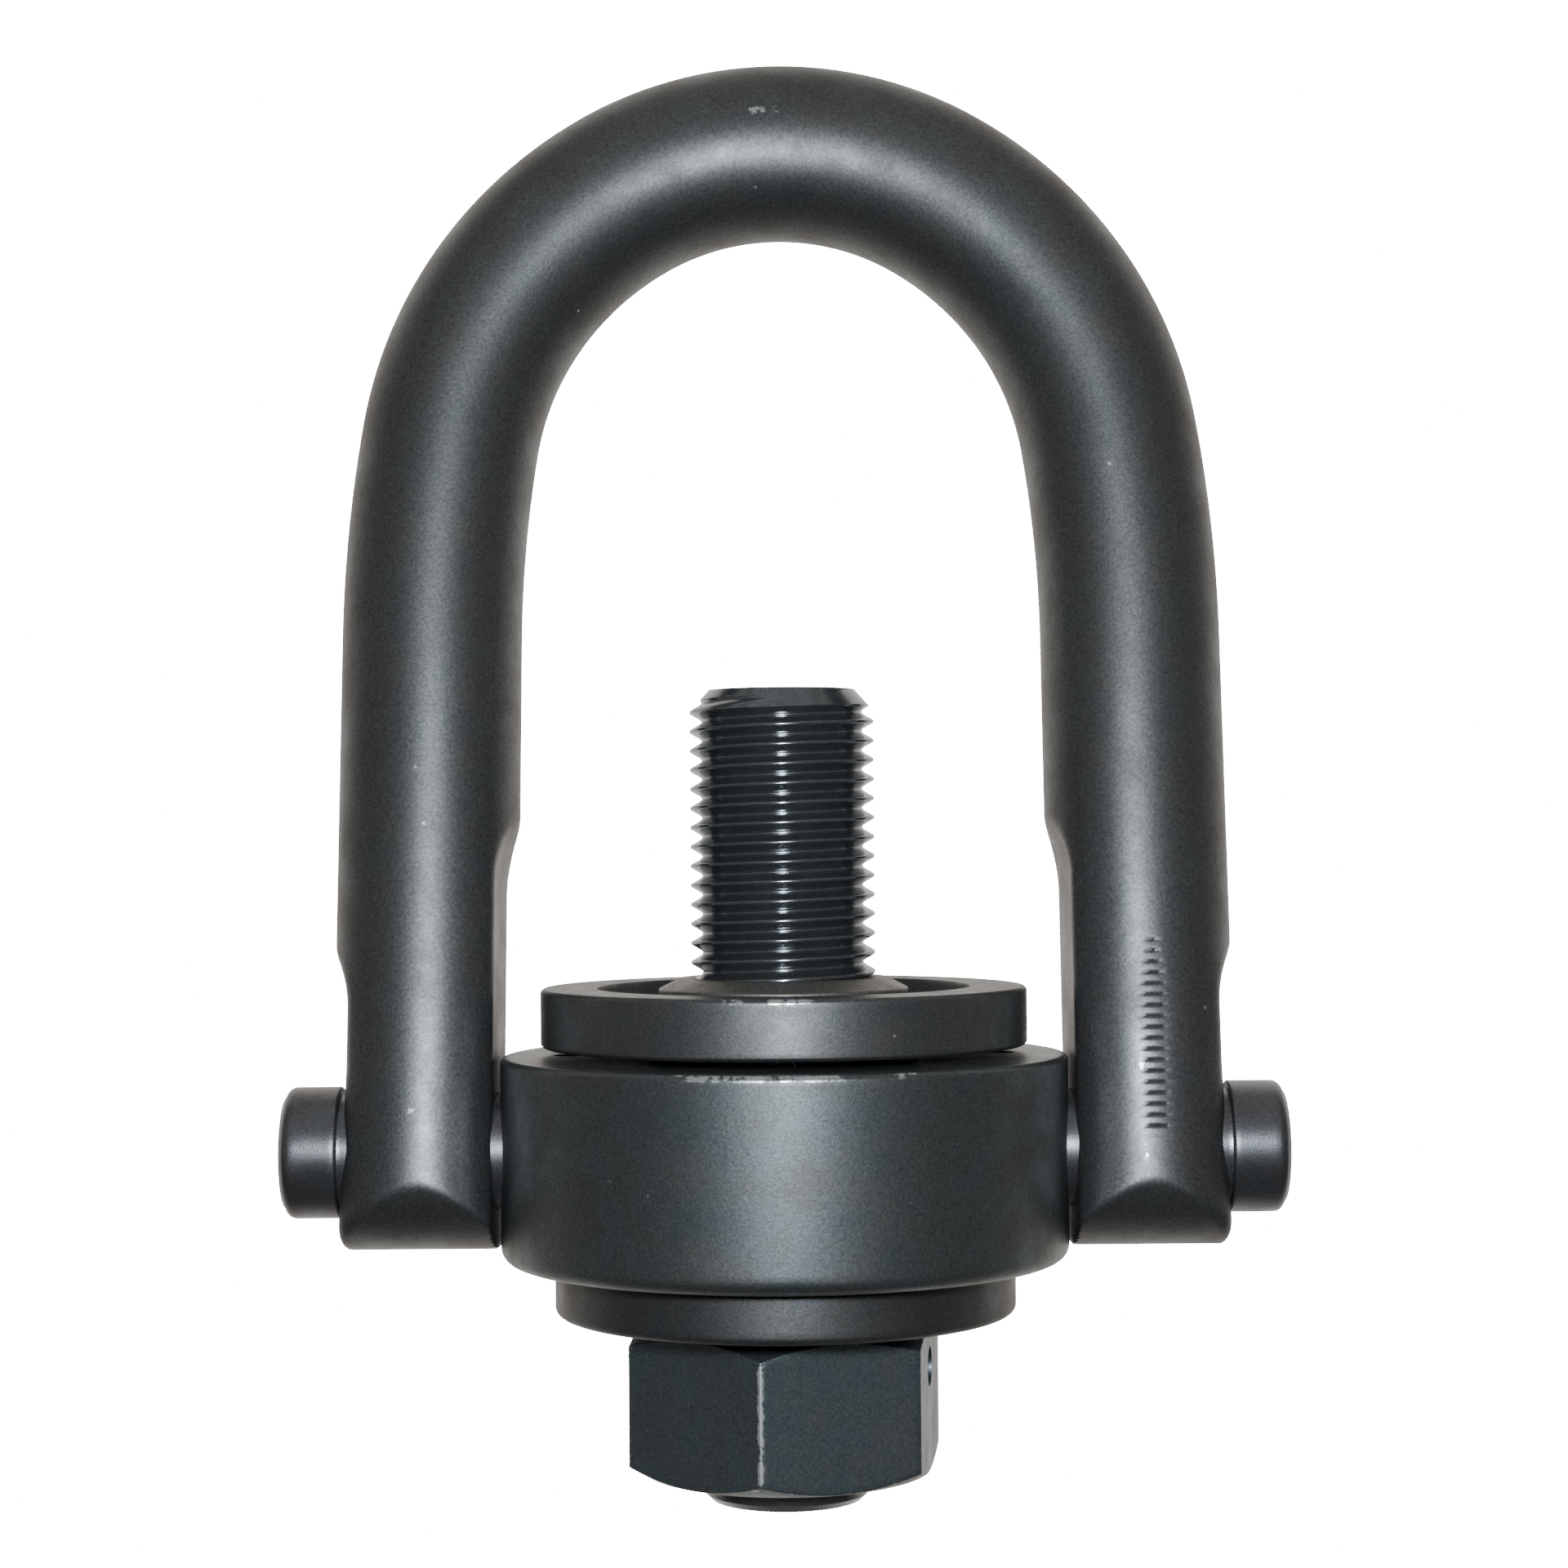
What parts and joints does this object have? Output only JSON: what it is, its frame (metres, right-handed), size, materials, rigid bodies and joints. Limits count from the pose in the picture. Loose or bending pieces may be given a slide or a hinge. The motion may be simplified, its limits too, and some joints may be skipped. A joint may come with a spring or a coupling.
{
  "type": "swivel hoist ring",
  "caption": "Screw-in swivel lifting anchor: threaded stud with pinned hex nut, flanged bushing, round swivel body and a U-shaped bail on shoulder pins.",
  "frame": {"origin": "centre of the mounting face, the flat outer ring of the bushing's flange, on the stud's axis", "axes": "+Z out of the mounting face along the threaded stud, +X through the right-hand shoulder pin, +Y to the rear, the way the bail leans at rest"},
  "size_m": [0.262, 0.1477, 0.3841],
  "materials": {
    "bail_steel": "forged alloy steel, heat treated and blackened, satin with a fine grain",
    "body_steel": "turned alloy steel, blackened, mottled and dull, bright chips on the rims",
    "stud_steel": "rolled thread, black oxide with oil, glossy",
    "nut_steel": "machined hexagon, black oxide, satin",
    "pin_steel": "ground alloy steel pin, black oxide, semi-gloss",
    "spring_pin_steel": "bright spring steel",
    "stop_ring_rubber": "moulded black nitrile rubber"
  },
  "bodies": {
    "stud": {"stud": "stud_steel", "hex_nut": "nut_steel", "nut_pin": "spring_pin_steel", "stop_ring": "stop_ring_rubber"},
    "bushing": {"flange_bushing": "body_steel", "thrust_washer": "body_steel"},
    "swivel": {"swivel_body": "body_steel", "shoulder_pin_left": "pin_steel", "shoulder_pin_right": "pin_steel", "roll_pin_left": "spring_pin_steel", "roll_pin_right": "spring_pin_steel"},
    "bail": {"bail": "bail_steel"}
  },
  "joints": [
    {"name": "bushing_turn", "type": "hinge", "parent": "stud", "child": "bushing", "pos_m": [0, 0, -0.04], "axis": [0, 0, 1], "continuous": true},
    {"name": "body_swivel", "type": "hinge", "parent": "bushing", "child": "swivel", "pos_m": [0, 0, -0.044], "axis": [0, 0, 1], "continuous": true},
    {"name": "bail_pivot", "type": "hinge", "parent": "swivel", "child": "bail", "pos_m": [0, 0, -0.0424], "axis": [1, 0, 0], "continuous": true}
  ]
}
